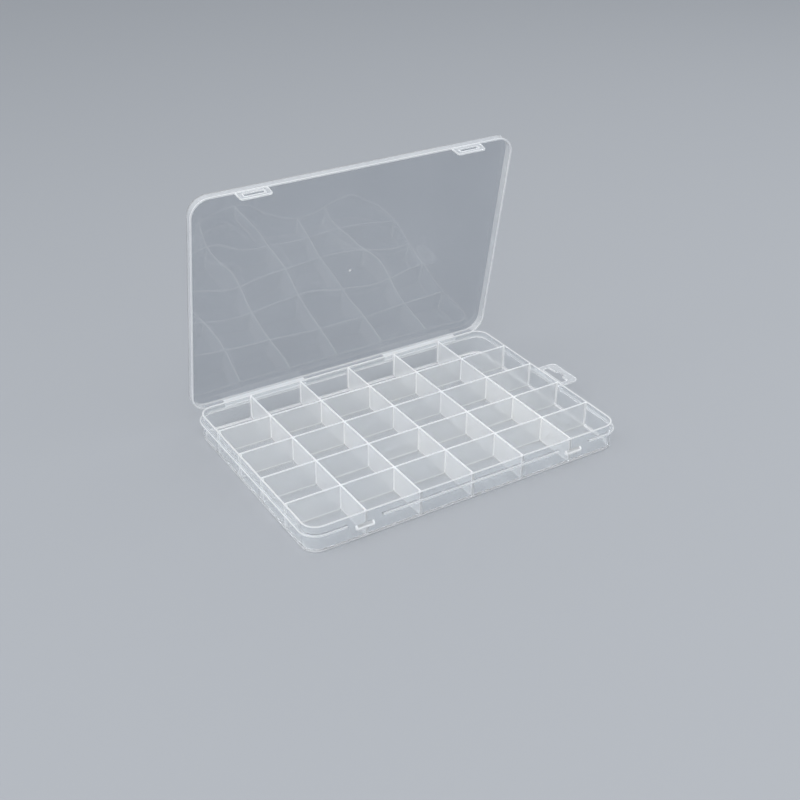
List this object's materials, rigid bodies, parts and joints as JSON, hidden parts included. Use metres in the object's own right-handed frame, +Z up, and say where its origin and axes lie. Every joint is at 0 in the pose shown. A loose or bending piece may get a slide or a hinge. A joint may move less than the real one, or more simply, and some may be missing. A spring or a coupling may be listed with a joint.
{
  "type": "compartment box",
  "caption": "Shallow clear plastic compartment box for craft bits, with a grid of dividers, a hinged lid with snap latches, and a hang tab.",
  "frame": {"origin": "centre of the tray's underside, where it rests on a table", "axes": "+X along the length towards the hang tab, +Y from the latches at the front to the hinge at the back, +Z up"},
  "size_m": [0.2982, 0.1993, 0.2079],
  "materials": {
    "tray_plastic": "clear, slightly milky polypropylene, glossy",
    "divider_plastic": "clear, slightly milky polypropylene, finely streaked",
    "lid_plastic": "clear polypropylene, glossy, faintly wavy"
  },
  "bodies": {
    "tray": {"tray_shell": "tray_plastic", "long_divider_1": "divider_plastic", "long_divider_2": "divider_plastic", "long_divider_3": "divider_plastic", "long_divider_4": "divider_plastic", "long_divider_5": "divider_plastic", "cross_divider_1_1": "divider_plastic", "cross_divider_1_2": "divider_plastic", "cross_divider_1_3": "divider_plastic", "cross_divider_1_4": "divider_plastic", "cross_divider_2_1": "divider_plastic", "cross_divider_2_2": "divider_plastic", "cross_divider_2_3": "divider_plastic", "cross_divider_2_4": "divider_plastic", "cross_divider_3_1": "divider_plastic", "cross_divider_3_2": "divider_plastic", "cross_divider_3_3": "divider_plastic", "cross_divider_3_4": "divider_plastic", "cross_divider_4_1": "divider_plastic", "cross_divider_4_2": "divider_plastic", "cross_divider_4_3": "divider_plastic", "cross_divider_4_4": "divider_plastic", "cross_divider_5_1": "divider_plastic", "cross_divider_5_2": "divider_plastic", "cross_divider_5_3": "divider_plastic", "cross_divider_5_4": "divider_plastic", "cross_divider_6_1": "divider_plastic", "cross_divider_6_2": "divider_plastic", "cross_divider_6_3": "divider_plastic", "cross_divider_6_4": "divider_plastic", "catch_left": "tray_plastic", "catch_right": "tray_plastic", "hang_tab": "tray_plastic", "tray_hinge_left": "tray_plastic", "tray_hinge_right": "tray_plastic"},
    "lid": {"lid_shell": "lid_plastic", "lid_hinge_left": "lid_plastic", "lid_hinge_right": "lid_plastic"},
    "latch_left": {"latch_left": "lid_plastic"},
    "latch_right": {"latch_right": "lid_plastic"}
  },
  "joints": [
    {"name": "lid_hinge", "type": "hinge", "parent": "tray", "child": "lid", "pos_m": [0, 0.0968, 0.0166], "axis": [-1, 0, 0], "range_deg": [-80, 100]},
    {"name": "latch_left_flex", "type": "hinge", "parent": "lid", "child": "latch_left", "pos_m": [-0.092, 0.06258, 0.20604], "axis": [-1, 0, 0], "range_deg": [0, 20], "stiffness_Nm_per_rad": 0.02},
    {"name": "latch_right_flex", "type": "hinge", "parent": "lid", "child": "latch_right", "pos_m": [0.092, 0.06258, 0.20604], "axis": [-1, 0, 0], "range_deg": [0, 20], "stiffness_Nm_per_rad": 0.02}
  ]
}
